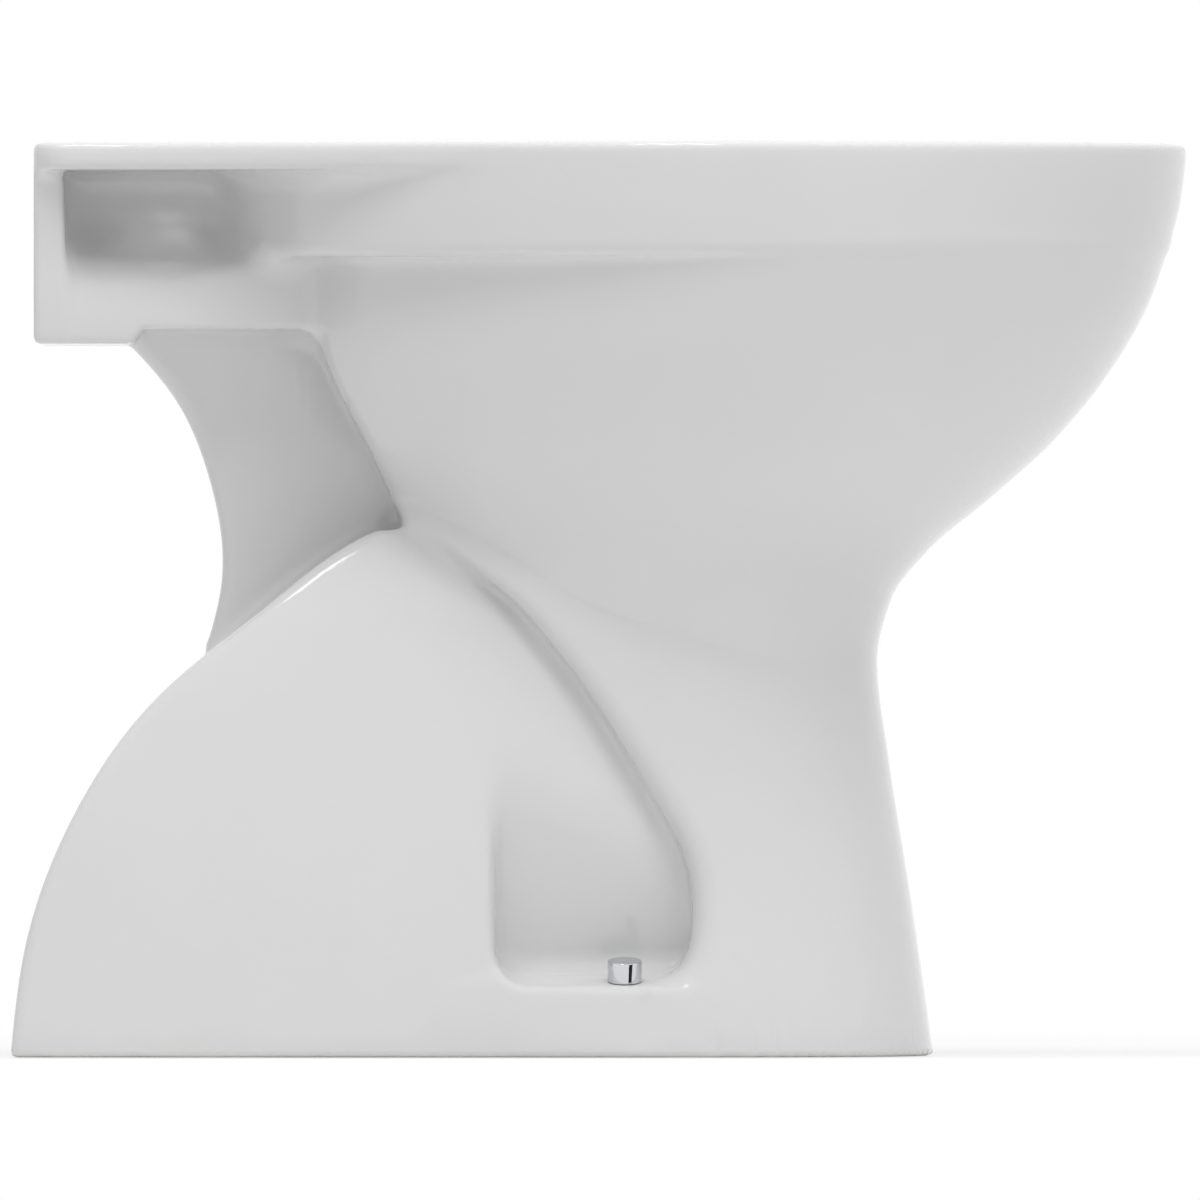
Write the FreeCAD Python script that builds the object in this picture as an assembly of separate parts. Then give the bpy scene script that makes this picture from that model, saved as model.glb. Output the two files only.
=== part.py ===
import FreeCAD, Part
import os
from math import cos, pi, radians, sin, tan

# Rimless floor-standing toilet pan with a rear shelf and a hidden floor outlet.
# Millimetres, +X to the front, +Y to the left, +Z up.
# The origin is on the floor, under the middle of the overall box.

V = FreeCAD.Vector

# Overall size
HEIGHT = 400.0
FRONT = 257.8
REAR = -257.8
CHINA_WALL = 11.0

# Rounded edges
RIM_EDGE = 3.0
RIM_INSIDE_EDGE = 6.0
DOME_EDGE = 5.0
NECK_EDGE = 10.0

# Horizontal sections of the bowl and the front of the foot:
# height, rear end, front end, half width, place of the greatest width, squareness
BOWL_SECTIONS = [
    (356.0, -139.0, 250.4, 175.2, 85.0, 2.0),
    (330.0, -137.5, 241.2, 167.5, 80.0, 2.0),
    (300.0, -131.5, 224.0, 155.0, 70.0, 2.0),
    (270.0, -118.0, 199.6, 139.0, 57.0, 2.0),
    (245.0, -107.0, 172.0, 124.0, 44.0, 2.0),
    (222.0, -112.0, 144.6, 112.0, 32.0, 2.1),
    (200.0, -124.0, 128.0, 105.2, 24.0, 2.3),
    (173.0, -130.0, 121.9, 102.2, 20.0, 2.3),
    (130.0, -130.0, 127.0, 104.0, 18.0, 2.4),
    (70.0, -130.0, 136.6, 110.0, 14.0, 2.7),
    (0.0, -130.0, 146.6, 118.5, 10.0, 3.0),
]

# Rim band round the top of the bowl
RIM_SECTIONS = [
    (350.0, -175.0, 248.6, 175.4, 78.0, 2.0),
    (376.0, -177.0, 255.4, 178.6, 78.0, 2.0),
    (HEIGHT, -178.0, FRONT, 180.0, 78.0, 2.0),
    (HEIGHT + 5, -178.1, FRONT, 180.0, 78.0, 2.0),
]

# Inside of the bowl above and below the flush ledge
RIM_HOLLOW = [
    (344.0, -103.0, 226.0, 146.0, 70.0, 2.0),
    (372.0, -104.5, 228.0, 147.5, 70.0, 2.0),
    (HEIGHT + 1, -106.0, 229.0, 148.0, 70.0, 2.0),
]
BOWL_HOLLOW = [
    (346.0, -94.0, 217.0, 137.0, 70.0, 2.0),
    (320.0, -91.0, 214.0, 136.0, 69.0, 2.0),
    (290.0, -82.0, 201.0, 131.0, 66.0, 2.0),
    (255.0, -66.0, 170.0, 114.0, 56.0, 2.0),
    (220.0, -43.0, 129.0, 91.0, 48.0, 2.0),
    (185.0, -21.0, 106.0, 70.0, 46.0, 2.0),
    (150.0, -2.0, 96.0, 55.0, 48.0, 2.0),
    (110.0, 22.0, 92.0, 42.0, 58.0, 2.0),
    (66.0, 32.0, 88.0, 37.0, 60.0, 2.0),
    (42.0, 38.0, 82.0, 30.0, 60.0, 2.0),
    (31.0, 46.0, 74.0, 17.0, 60.0, 2.0),
]

# Trap: centre line corners, bend radii and tube sizes
TRAP_CORNERS = [(62.0, 66.0), (-5.0, 66.0), (-88.0, 208.0), (-186.0, 100.0), (-186.0, 14.0)]
TRAP_BENDS = [45.0, 42.0, 70.0]
TRAP_BORE = 35.0
TRAP_TUBE = 45.0
SPIGOT_RADIUS = 51.0
SPIGOT_TOP = 50.0

# Flush way through the shelf
INLET_Z = 352.0
INLET_RADIUS = 27.8
INLET_DEPTH = 34.0
PIPE_RADIUS = 22.0
CHAMBER = (-216.0, -128.0, -44.0, 44.0, 326.0, 379.0)
MOUTH = (-130.0, -80.0, -42.0, 42.0, 347.0, 377.0)
REBATE = (-112.0, -70.0, -47.0, 47.0, 345.0, 381.0)

# Seat hinge holes in the deck
SEAT_X = -190.0
SEAT_SPACING = 155.0
SEAT_HOLE = 7.5

# Floor fixing: pockets in the foot, inclined holes, bushes and caps
LEDGE_HEIGHT = 30.0
LEDGE_TILT = 12.0
FOOT_HALF = 118.5
POCKET_LEFT = -46.0
POCKET_BACK = 87.0
POCKET_LEAN = 0.22
FIX_X = 10.8
FIX_Y = 104.0
FIX_HOLE = 5.0
BUSH_LENGTH = 24.0
BUSH_BORE = 3.2
CAP_RADIUS = 7.55
CAP_HEIGHT = 9.5

# Where the sections of the china meet
SHELF_FRONT = -118.0
RIM_BOTTOM = 330.0
NECK_BOTTOM = 222.0
DOME_FRONT = -60.0
BOWL_SEAM = [(-118, 420), (-118, 250), (-88, 238), (-40, 207), (-4, 169), (0, 165), (300, 165), (300, 420)]
BOSS_HALF = 19.0
BOSS_BACK = 78.0
BOSS_TOP = 42.0
SUMP_REAR = 15.0
WEIR_X = -90.0
SPIGOT_JOINT = 62.0

# Rear shelf
DECK_THICKNESS = 12.0
DECK_REAR = -247.8
DECK_HALF_REAR = 113.0
DECK_CORNER = 14.0
DECK_JOIN_X = -45.0
SHELF_BOTTOM = 312.0
SHELF_WALL = 12.0
WALL_HALF = 99.0
FLUSH_HALF = 58.0
BLOCK_FRONT = -200.0
FLANGE_HALF = 98.0
FLANGE_EDGE = 318.6
COVE_TOP = 346.0

# Neck under the shelf, side outline
NECK_HALF = 56.0
NECK_REAR = [
    (-206.5, 312.0),
    (-186.3, 287.8),
    (-171.3, 252.6),
    (-166.0, 208.7),
    (-172.5, 180.0),
]

# Edge of the front of the foot, which stands proud of the dome
RIDGE = [
    (-91.0, 233.0),
    (-70.2, 219.7),
    (-43.8, 202.1),
    (-8.7, 164.7),
    (24.3, 112.0),
    (37.5, 85.6),
    (40.5, 62.0),
]
RIDGE_CORNER = [(40.5, 62.0), (34.2, 39.0), (18.0, 31.0)]

# Rear dome of the foot: side outline and plan sections
DOME_OUTLINE = [
    (REAR, 0.0),
    (-250.9, 50.4),
    (-231.5, 103.2),
    (-195.1, 155.9),
    (-150.0, 194.0),
    (-91.0, 233.0),
    (-58.0, 236.0),
    (-10.0, 210.0),
    (62.0, 120.0),
]
DOME_SECTIONS = [
    (0.0, -500.0, 90.0, 118.5, -95.0, 2.6),
    (85.0, -500.0, 81.0, 115.0, -95.0, 2.6),
    (138.0, -500.0, 60.0, 110.0, -95.0, 2.6),
    (186.0, -500.0, 45.0, 101.0, -104.0, 2.6),
    (240.0, -500.0, 30.0, 70.0, -110.0, 2.6),
]
# Strip at the bottom that joins the dome and the front across the bolt pockets
PLINTH_SECTIONS = [
    (0.0, -700.0, 147.0, 118.5, -40.0, 3.2),
    (44.0, -700.0, 140.0, 116.7, -40.0, 3.2),
]


def egg_points(section, grow):
    """Points of one closed horizontal outline, round in front and behind its widest place."""
    z, rear, front, half, widest, square = section
    points = []
    for i in range(36):
        angle = 2.0 * pi * i / 36
        c, s = cos(angle), sin(angle)
        reach = (front - widest if c > 0 else widest - rear) + grow
        along = abs(c) ** (2.0 / square) * (1 if c > 0 else -1)
        across = abs(s) ** (2.0 / square) * (1 if s > 0 else -1)
        points.append(V(widest + reach * along, (half + grow) * across, z))
    return points


def spacing(points):
    """Distance of each point along its closed outline, as a share of the whole."""
    lengths = [0.0]
    for a, b in zip(points, points[1:] + points[:1]):
        lengths.append(lengths[-1] + (b - a).Length)
    return [d / lengths[-1] for d in lengths]


def slopes(zs, values):
    """Slope at each height that keeps a curve through the values free of overshoot."""
    steps = [(values[i + 1] - values[i]) / (zs[i + 1] - zs[i]) for i in range(len(zs) - 1)]
    inner = [0.0 if a * b <= 0 else 2 * a * b / (a + b) for a, b in zip(steps, steps[1:])]
    return [steps[0]] + inner + [steps[-1]]


def section_at(sections, z):
    """The section at any height, read smoothly between the driving sections."""
    rows = sorted(sections)
    zs = [row[0] for row in rows]
    i = max(k for k in range(len(zs) - 1) if zs[k] <= z or k == 0)
    h = zs[i + 1] - zs[i]
    t = (z - zs[i]) / h
    out = [z]
    for column in range(1, len(rows[0])):
        values = [row[column] for row in rows]
        m = slopes(zs, values)
        start = (1 + 2 * t) * (1 - t) ** 2 * values[i] + t * (1 - t) ** 2 * h * m[i]
        end = t * t * (3 - 2 * t) * values[i + 1] + t * t * (t - 1) * h * m[i + 1]
        out.append(start + end)
    return out


def loft(sections, grow=0.0, step=20.0):
    """A smooth solid through level outlines at an even spacing; they share one spacing along the outline."""
    low, high = min(s[0] for s in sections), max(s[0] for s in sections)
    count = max(2, round((high - low) / step))
    shares = spacing(egg_points(section_at(sections, (low + high) / 2), grow))
    wires = []
    for i in range(count + 1):
        section = section_at(sections, low + (high - low) * i / count)
        curve = Part.BSplineCurve()
        curve.interpolate(Points=egg_points(section, grow), PeriodicFlag=True, Parameters=shares)
        wires.append(Part.Wire([curve.toShape()]))
    return Part.makeLoft(wires, True, False)


def side_prism(edges, half):
    """A solid with a side outline in the XZ plane, the same to both sides."""
    face = Part.Face(Part.Wire(edges))
    face.translate(V(0, -half, 0))
    return face.extrude(V(0, 2 * half, 0))


def line(a, b):
    return Part.LineSegment(a, b).toShape()


def spline(points):
    curve = Part.BSplineCurve()
    curve.interpolate(points)
    return curve.toShape()


def side_points(pairs):
    return [V(x, 0, z) for x, z in pairs]


def make_dome():
    top = side_points(DOME_OUTLINE)
    end = V(top[-1].x, 0, 0)
    prism = side_prism([spline(top), line(top[-1], end), line(end, top[0])], 150)
    dome = prism.common(loft(DOME_SECTIONS)).Solids[0]
    sides = [e for e in dome.Edges if e.BoundBox.XMin < REAR + 20 and e.BoundBox.ZMax > 200]
    return dome.makeFillet(DOME_EDGE, sides)


def make_neck():
    rear = side_points(NECK_REAR)
    tail = V(-130, 0, 150)
    low = V(-60, 0, 200)
    high = V(-90, 0, 330)
    back = V(-206.5, 0, 330)
    edges = [spline(rear), line(rear[-1], tail), line(tail, low), line(low, high)]
    edges += [line(high, back), line(back, rear[0])]
    neck = side_prism(edges, NECK_HALF)
    x = rear[0].x
    corners = [e for e in neck.Edges if e.BoundBox.XMin < x + 1 and e.BoundBox.ZMax > e.BoundBox.ZMin + 1]
    return neck.makeFillet(NECK_EDGE, corners)


def deck_outline(z):
    """Plan of the rear deck, which runs into the rim band on both sides."""
    rim = RIM_SECTIONS[-2]
    rear_reach = rim[4] - rim[1]
    u = (rim[4] - DECK_JOIN_X) / rear_reach
    join_y = rim[3] * (1 - u * u) ** 0.5 - 0.5
    slope = rim[3] * u / rear_reach / (1 - u * u) ** 0.5
    c = DECK_CORNER
    edges = []
    for side in (1, -1):
        curve = Part.BSplineCurve()
        start = V(DECK_REAR + c, side * DECK_HALF_REAR, z)
        end = V(DECK_JOIN_X, side * join_y, z)
        curve.interpolate(
            Points=[start, end],
            InitialTangent=V(1, side * 0.06, 0),
            FinalTangent=V(1, side * slope, 0),
        )
        corner = Part.Arc(
            start,
            V(DECK_REAR + c * 0.2929, side * (DECK_HALF_REAR - c * 0.2929), z),
            V(DECK_REAR, side * (DECK_HALF_REAR - c), z),
        )
        edges += [curve.toShape(), corner.toShape()]
    edges.append(line(V(DECK_REAR, DECK_HALF_REAR - c, z), V(DECK_REAR, c - DECK_HALF_REAR, z)))
    edges.append(line(V(DECK_JOIN_X, join_y, z), V(DECK_JOIN_X, -join_y, z)))
    return Part.Wire(Part.__sortEdges__(edges))


def deck_prism(low, high):
    return Part.Face(deck_outline(low)).extrude(V(0, 0, high - low))


def box(x0, x1, y0, y1, z0, z1):
    return Part.makeBox(x1 - x0, y1 - y0, z1 - z0, V(x0, y0, z0))


def flange_block(x0, x1, bottom):
    """Floor of the side recesses: a plate with a cove up to the flush channel on each side."""
    edges = []
    ends = []
    for side in (1, -1):
        top = V(x0, side * FLUSH_HALF, COVE_TOP)
        mid = V(x0, side * (FLUSH_HALF + 24.2), COVE_TOP - 17)
        tip = V(x0, side * FLANGE_HALF, COVE_TOP - 23)
        edge = V(x0, side * FLANGE_HALF, bottom)
        edges += [Part.Arc(top, mid, tip).toShape(), line(tip, edge)]
        ends.append((top, edge))
    edges += [line(ends[0][0], ends[1][0]), line(ends[0][1], ends[1][1])]
    face = Part.Face(Part.Wire(Part.__sortEdges__(edges)))
    return face.extrude(V(x1 - x0, 0, 0))


def make_flange():
    """The rear block and the plate in front of it, which narrows toward the bowl."""
    block = flange_block(DECK_REAR + 4, BLOCK_FRONT, SHELF_BOTTOM)
    plate = flange_block(BLOCK_FRONT - 1, -118.0, FLANGE_EDGE)
    plan = []
    for side in (1, -1):
        rear = V(BLOCK_FRONT - 20, side * (FLANGE_HALF + 1), 300)
        front = V(-110, side * 66, 300)
        curve = Part.BSplineCurve()
        curve.interpolate(
            Points=[rear, front],
            InitialTangent=V(1, 0, 0),
            FinalTangent=V(1, -side * 0.35, 0),
        )
        plan.append(curve.toShape())
    plan.append(line(plan[0].Vertexes[0].Point, plan[1].Vertexes[0].Point))
    plan.append(line(plan[0].Vertexes[1].Point, plan[1].Vertexes[1].Point))
    keep = Part.Face(Part.Wire(Part.__sortEdges__(plan))).extrude(V(0, 0, 80))
    return block.fuse(plate.common(keep))


def ridge_cut(shift=0.0):
    """Cutter that takes the bowl away behind the ridge, where the dome shows."""
    ridge = side_points(RIDGE)
    corner = side_points(RIDGE_CORNER)
    low = V(corner[-1].x, 0, 20)
    rear = V(-300, 0, 20)
    back = V(-300, 0, ridge[0].z)
    edges = [spline(ridge), Part.Arc(*corner).toShape(), line(corner[-1], low)]
    edges += [line(low, rear), line(rear, back), line(back, ridge[0])]
    cutter = side_prism(edges, 200)
    cutter.translate(V(shift, 0, 0))
    return cutter


def make_bowl():
    """Bowl and front of the foot, cut back along the ridge where the dome takes over."""
    return loft(BOWL_SECTIONS).cut(ridge_cut())


def edges_at_top(shape):
    """Edges that lie in the flat top of the rim and the deck."""
    return [e for e in shape.Edges if abs(e.BoundBox.ZMin - HEIGHT) < 0.01 and e.Length > 60]


def make_outer():
    """Whole outer form, with one flat top over the rim and the deck."""
    above = HEIGHT + 5
    deck = deck_prism(HEIGHT - DECK_THICKNESS, above)
    back = deck_prism(SHELF_BOTTOM, above)
    back = back.common(box(DECK_REAR, DECK_REAR + SHELF_WALL, -WALL_HALF, WALL_HALF, 0, above))
    flush = box(DECK_REAR + 1, -100, -FLUSH_HALF, FLUSH_HALF, SHELF_BOTTOM, above)
    plinth = loft(PLINTH_SECTIONS).common(box(-75, 100, -200, 200, 0, 60))
    pockets = [pocket(1), pocket(-1)]
    foot = [make_dome().cut(pockets), plinth.cut(pockets)]
    parts = [loft(RIM_SECTIONS), deck, back, flush, make_flange(), make_neck()] + foot
    top = box(-400, 400, -300, 300, HEIGHT, HEIGHT + 50)
    outer = make_bowl()
    for form in parts:
        outer = outer.fuse(form)
    outer = outer.cut(top).Solids[0]
    return outer.makeFillet(RIM_EDGE, edges_at_top(outer))


def trap_path():
    """Centre line of the trap: straight runs joined by round bends."""
    pts = side_points(TRAP_CORNERS)
    edges = []
    start = pts[0]
    for before, corner, after, radius in zip(pts, pts[1:], pts[2:], TRAP_BENDS):
        before = (before - corner).normalize()
        after = (after - corner).normalize()
        reach = radius / tan(before.getAngle(after) / 2)
        first, last = corner + before * reach, corner + after * reach
        middle = (before + after).normalize()
        centre_gap = (radius * radius + reach * reach) ** 0.5
        halfway = corner + middle * (centre_gap - radius)
        edges += [line(start, first), Part.Arc(first, halfway, last).toShape()]
        start = last
    edges.append(line(start, pts[-1]))
    return Part.Wire(edges)


def trap_tube(radius):
    path = trap_path()
    pts = side_points(TRAP_CORNERS)
    ring = Part.Wire([Part.Circle(pts[0], pts[1] - pts[0], radius).toShape()])
    return path.makePipeShell([ring], True, False)


def pocket(side, grow=0.0):
    """Cutter for one bolt pocket; its floor leans outward and its back wall leans in at the foot."""
    r = 15.0
    y = side * FOOT_HALF
    left, low, right, high = POCKET_LEFT - grow, LEDGE_HEIGHT - grow, 60.0 + grow, 150.0
    edges = [
        line(V(left, y, high), V(left, y, low + r)),
        Part.Arc(
            V(left, y, low + r),
            V(left + r * 0.2929, y, low + r * 0.2929),
            V(left + r, y, low),
        ).toShape(),
        line(V(left + r, y, low), V(right, y, low)),
        line(V(right, y, low), V(right, y, high)),
        line(V(right, y, high), V(left, y, high)),
    ]
    run = V(0, -side * 60, 60 * tan(radians(LEDGE_TILT)))
    face = Part.Face(Part.Wire(edges))
    face.translate(run * -1)
    block = face.extrude(run * 2)
    back = POCKET_BACK - grow
    lean = [(back + POCKET_LEAN * (z - LEDGE_HEIGHT), z) for z in (-20, 220)]
    corners = [lean[0], lean[1], (250, 220), (250, -20), lean[0]]
    keep = Part.makePolygon([V(-200, side * w, z) for w, z in corners])
    return block.common(Part.Face(keep).extrude(V(400, 0, 0)))


def fix_point(side):
    """Middle of a fixing hole on the pocket floor."""
    return V(FIX_X, side * FIX_Y, LEDGE_HEIGHT + (FOOT_HALF - FIX_Y) * tan(radians(LEDGE_TILT)))


def fix_axis(side):
    """Direction of a fixing hole, up and outward."""
    return V(0, side * sin(radians(LEDGE_TILT)), cos(radians(LEDGE_TILT)))


def make_hollow():
    """Space inside the foot, round the fixing bosses."""
    low_bowl = [s for s in BOWL_SECTIONS if s[0] < 180.0]
    front = loft(low_bowl, -CHINA_WALL).common(box(-110, 300, -200, 200, -1, 160))
    front = front.cut(ridge_cut(1.5 * CHINA_WALL))
    scale_x = 1 - CHINA_WALL / 168.0
    scale_z = 1 - CHINA_WALL / 233.0
    top = [V(-90 + (x + 90) * scale_x, 0, z * scale_z) for x, z in DOME_OUTLINE]
    end = V(top[-1].x, 0, 0)
    prism = side_prism([spline(top), line(top[-1], end), line(end, top[0])], 150)
    rear = prism.common(loft(DOME_SECTIONS, -CHINA_WALL))
    filled = []
    for side in (1, -1):
        filled.append(pocket(side, CHINA_WALL))
        axis = fix_axis(side)
        filled.append(Part.makeCylinder(16, 60, fix_point(side) - axis * 55, axis))
    return front.fuse(rear).cut(filled)


def make_trapway(hollow):
    """Trap inside the foot: sump, rising limb, falling limb and outlet spigot."""
    sump = loft([(s[0] - CHINA_WALL,) + s[1:] for s in BOWL_HOLLOW], CHINA_WALL * 0.8)
    x, z = TRAP_CORNERS[-1]
    spigot = Part.makeCylinder(SPIGOT_RADIUS, SPIGOT_TOP - z, V(x, 0, z))
    body = trap_tube(TRAP_TUBE).fuse([sump, spigot]).common(hollow)
    return body.cut([trap_tube(TRAP_BORE), loft(BOWL_HOLLOW)])


def make_pan(hollow):
    """The china round the trap, in one piece."""
    pan = make_outer()
    cuts = [loft(RIM_HOLLOW, step=12.0), loft(BOWL_HOLLOW), trap_tube(TRAP_BORE), hollow]
    cuts += [box(*CHAMBER), box(*MOUTH), box(*REBATE)]
    inlet = V(DECK_REAR - 1, 0, INLET_Z)
    cuts.append(Part.makeCylinder(INLET_RADIUS, INLET_DEPTH + 1, inlet, V(1, 0, 0)))
    for side in (1, -1):
        seat = V(SEAT_X, side * SEAT_SPACING / 2, HEIGHT - 20)
        cuts.append(Part.makeCylinder(SEAT_HOLE, 21, seat))
        axis = fix_axis(side)
        cuts.append(Part.makeCylinder(FIX_HOLE, 60, fix_point(side) - axis * 50, axis))
    pan = pan.cut(cuts).Solids[0]
    mouth = [e for e in edges_at_top(pan) if e.BoundBox.XMin > -120 and e.BoundBox.XMax < 240]
    return pan.makeFillet(RIM_INSIDE_EDGE, mouth)


def split(shape, cutters, rest):
    """Sections of a shape, cut off one after the other; what is left gets the last name."""
    sections = {}
    for name, cutter in cutters.items():
        sections[name] = shape.common(cutter)
        shape = shape.cut(cutter)
    sections[rest] = shape
    return sections


def split_trapway(trapway):
    """The trap in four lengths that meet face to face."""
    cutters = {
        "outlet_spigot": box(-400, -120, -200, 200, -5, SPIGOT_JOINT),
        "falling_limb": box(-400, WEIR_X, -200, 200, -5, 400),
        "rising_limb": box(WEIR_X, SUMP_REAR, -200, 200, -5, 400),
    }
    return split(trapway, cutters, "sump")


def split_pan(pan):
    """The china in the sections that are stuck together before firing; they meet face to face."""
    wide, top = 300, HEIGHT + 10
    shelf = [-400, SHELF_FRONT]
    inner = MOUTH[3]
    seam = side_points(BOWL_SEAM)
    cutters = {
        "left_fixing_boss": box(FIX_X - BOSS_HALF, FIX_X + BOSS_HALF, BOSS_BACK, wide, -5, BOSS_TOP),
        "right_fixing_boss": box(FIX_X - BOSS_HALF, FIX_X + BOSS_HALF, -wide, -BOSS_BACK, -5, BOSS_TOP),
        "deck": box(*shelf, -wide, wide, HEIGHT - DECK_THICKNESS, top),
        "inlet_wall": box(-400, CHAMBER[0], -FLUSH_HALF, FLUSH_HALF, SHELF_BOTTOM, top),
        "left_channel_wall": box(*shelf, inner, FLUSH_HALF, SHELF_BOTTOM, top),
        "right_channel_wall": box(*shelf, -FLUSH_HALF, -inner, SHELF_BOTTOM, top),
        "channel_floor": box(*shelf, -inner, inner, SHELF_BOTTOM, MOUTH[4]),
        "channel_roof": box(*shelf, -inner, inner, MOUTH[4], top),
        "left_shelf_side": box(*shelf, FLUSH_HALF, wide, SHELF_BOTTOM, top),
        "right_shelf_side": box(*shelf, -wide, -FLUSH_HALF, SHELF_BOTTOM, top),
        "neck": box(*shelf, -wide, wide, NECK_BOTTOM, SHELF_BOTTOM),
        "rim": box(SHELF_FRONT, 400, -wide, wide, RIM_BOTTOM, top),
        "bowl": side_prism([line(a, b) for a, b in zip(seam, seam[1:] + seam[:1])], wide),
        "dome": box(-400, DOME_FRONT, -wide, wide, -5, SHELF_BOTTOM),
    }
    return split(pan, cutters, "pedestal")


def lathe(profile):
    """A turned piece from radius and height pairs, round the Z axis."""
    points = [V(r, 0, z) for r, z in profile]
    wire = Part.makePolygon(points + points[:1])
    return Part.Face(wire).revolve(V(0, 0, 0), V(0, 0, 1), 360)


def on_fix_axis(shape, side):
    """Stand a piece on the pocket floor, along the fixing hole."""
    shape.Placement = FreeCAD.Placement(fix_point(side), FreeCAD.Rotation(V(0, 0, 1), fix_axis(side)))
    return shape


def make_bush():
    """Nylon bush: sleeve in the china, flange on the ledge and a collar for the cap."""
    bore, sleeve, flange = BUSH_BORE, FIX_HOLE - 0.3, CAP_RADIUS - 1.25
    return lathe(
        [
            (bore, -BUSH_LENGTH),
            (sleeve - 0.5, -BUSH_LENGTH),
            (sleeve, -BUSH_LENGTH + 1.5),
            (sleeve, 0),
            (flange, 0),
            (flange, 5.0),
            (flange - 0.4, 5.4),
            (flange - 0.9, 5.4),
            (flange - 0.9, 1.6),
            (bore, 1.6),
        ]
    )


def make_washer():
    return lathe([(3.8, 1.6), (5.2, 1.6), (5.2, 2.6), (3.8, 2.6)])


def make_cap():
    """Chrome cap: thin cup with a bevelled top, standing clear of the ledge."""
    r, h = CAP_RADIUS, CAP_HEIGHT
    return lathe(
        [
            (r - 1.05, 0.2),
            (r, 0.2),
            (r, h - 1.2),
            (r - 1.2, h),
            (0, h),
            (0, h - 1.2),
            (r - 1.6, h - 1.2),
            (r - 1.05, h - 1.75),
        ]
    )


def make_inlet_seal():
    """Rubber sleeve in the inlet, with three sealing ribs outside and a lead-in for the flush pipe."""
    body, length = INLET_RADIUS - 1.6, INLET_DEPTH - 3.0
    profile = [(PIPE_RADIUS + 1.5, 0), (body, 0)]
    for i in range(3):
        z = 5.0 + 9.0 * i
        profile += [(body, z), (body + 0.9, z + 1.5), (body + 0.9, z + 2.5), (body, z + 4.0)]
    profile += [(body, length), (PIPE_RADIUS - 2.0, length), (PIPE_RADIUS - 2.0, length - 3)]
    profile += [(PIPE_RADIUS, length - 3), (PIPE_RADIUS, 3.0)]
    seal = lathe(profile)
    turn = FreeCAD.Rotation(V(0, 0, 1), V(1, 0, 0))
    seal.Placement = FreeCAD.Placement(V(DECK_REAR + 0.5, 0, INLET_Z), turn)
    return seal


def make_distributor():
    """Plastic insert that turns the flush to both sides along the ledge."""
    x0, x1 = MOUTH[0] + 4.0, REBATE[0] + 1.8
    body = box(x0, x1 + 1, -41.5, 41.5, 347.5, 376.5)
    face = box(x1, -97.0, -46.5, 46.5, 345.5, 380.5)
    front = Part.makeCylinder(160, 60, V(x1 + 7.0 + 160, 0, 335))
    insert = body.fuse(face.cut(front))
    windows = [box(x0 - 1, -90, -9, 9, 351, 360)]
    for side in (1, -1):
        y0, y1 = sorted((side * 15, side * 38))
        windows.append(box(x0 - 1, -90, y0, y1, 351, 373))
    return insert.cut(windows)


def make_gasket():
    """Rubber frame behind the insert's flange."""
    x0, x1 = REBATE[0] + 0.1, REBATE[0] + 1.7
    return box(x0, x1, -46.3, 46.3, 345.7, 380.3).cut(box(x0 - 1, x1 + 1, -41.8, 41.8, 347.2, 376.8))


if __name__ == "__main__":
    os.makedirs("parts", exist_ok=True)
    hollow = make_hollow()
    nodes = split_pan(make_pan(hollow))
    nodes.update(split_trapway(make_trapway(hollow)))
    nodes["inlet_seal"] = make_inlet_seal()
    nodes["flush_distributor"] = make_distributor()
    nodes["distributor_gasket"] = make_gasket()
    for name, side in (("left", 1), ("right", -1)):
        nodes[name + "_screw_bush"] = on_fix_axis(make_bush(), side)
        nodes[name + "_screw_washer"] = on_fix_axis(make_washer(), side)
        nodes[name + "_screw_cap"] = on_fix_axis(make_cap(), side)
    for name, shape in nodes.items():
        print(name, shape.isValid(), len(shape.Solids), round(shape.Volume / 1e3, 2))
        shape.exportStep("parts/" + name + ".step")
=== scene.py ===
import logging
import math
from dataclasses import dataclass, replace
from enum import Enum

import bmesh
import bpy
import numpy as np
from bpy.types import ID, Material, Mesh, Node, NodeSocket, NodeTree, Object, World
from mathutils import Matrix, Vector


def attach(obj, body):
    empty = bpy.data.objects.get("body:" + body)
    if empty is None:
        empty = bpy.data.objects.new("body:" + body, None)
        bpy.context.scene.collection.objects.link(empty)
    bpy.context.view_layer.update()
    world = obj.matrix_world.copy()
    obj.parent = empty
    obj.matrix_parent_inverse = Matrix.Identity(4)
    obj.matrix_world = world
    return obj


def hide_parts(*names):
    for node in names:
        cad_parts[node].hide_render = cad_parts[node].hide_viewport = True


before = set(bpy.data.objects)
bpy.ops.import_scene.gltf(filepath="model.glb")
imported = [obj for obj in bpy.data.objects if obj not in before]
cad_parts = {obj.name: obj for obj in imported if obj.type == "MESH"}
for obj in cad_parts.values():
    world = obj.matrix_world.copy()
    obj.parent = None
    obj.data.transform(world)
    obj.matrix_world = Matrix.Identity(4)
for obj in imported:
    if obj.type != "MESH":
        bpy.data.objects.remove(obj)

# Dressed model of the rimless toilet: the china is modelled as one clay form on a fine grid,
# with every junction and edge rounded as a slip casting has it, and the turned pieces are swept
# by a node tree. Sizes are in millimetres and become metres in the meshes.

MM = 0.001
# A squared distance larger than any here, and a guard against division by nothing.
FAR = 1e12
TINY = 1e-9
# How far a mark reaches from its skin.
MARK_MM = 1.5
# Node type for sums of whole numbers.
WHOLE = "FunctionNodeIntegerMath"
WHITE = (1.0, 1.0, 1.0, 1.0)
log = logging.getLogger("toilet")

Array = np.ndarray
Pair = tuple[float, float]
Triple = tuple[float, float, float]
Path = tuple[Pair, ...]
# Two places along an axis, the value up to the first and the value from the second on.
Change = tuple[float, float, float, float]


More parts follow.
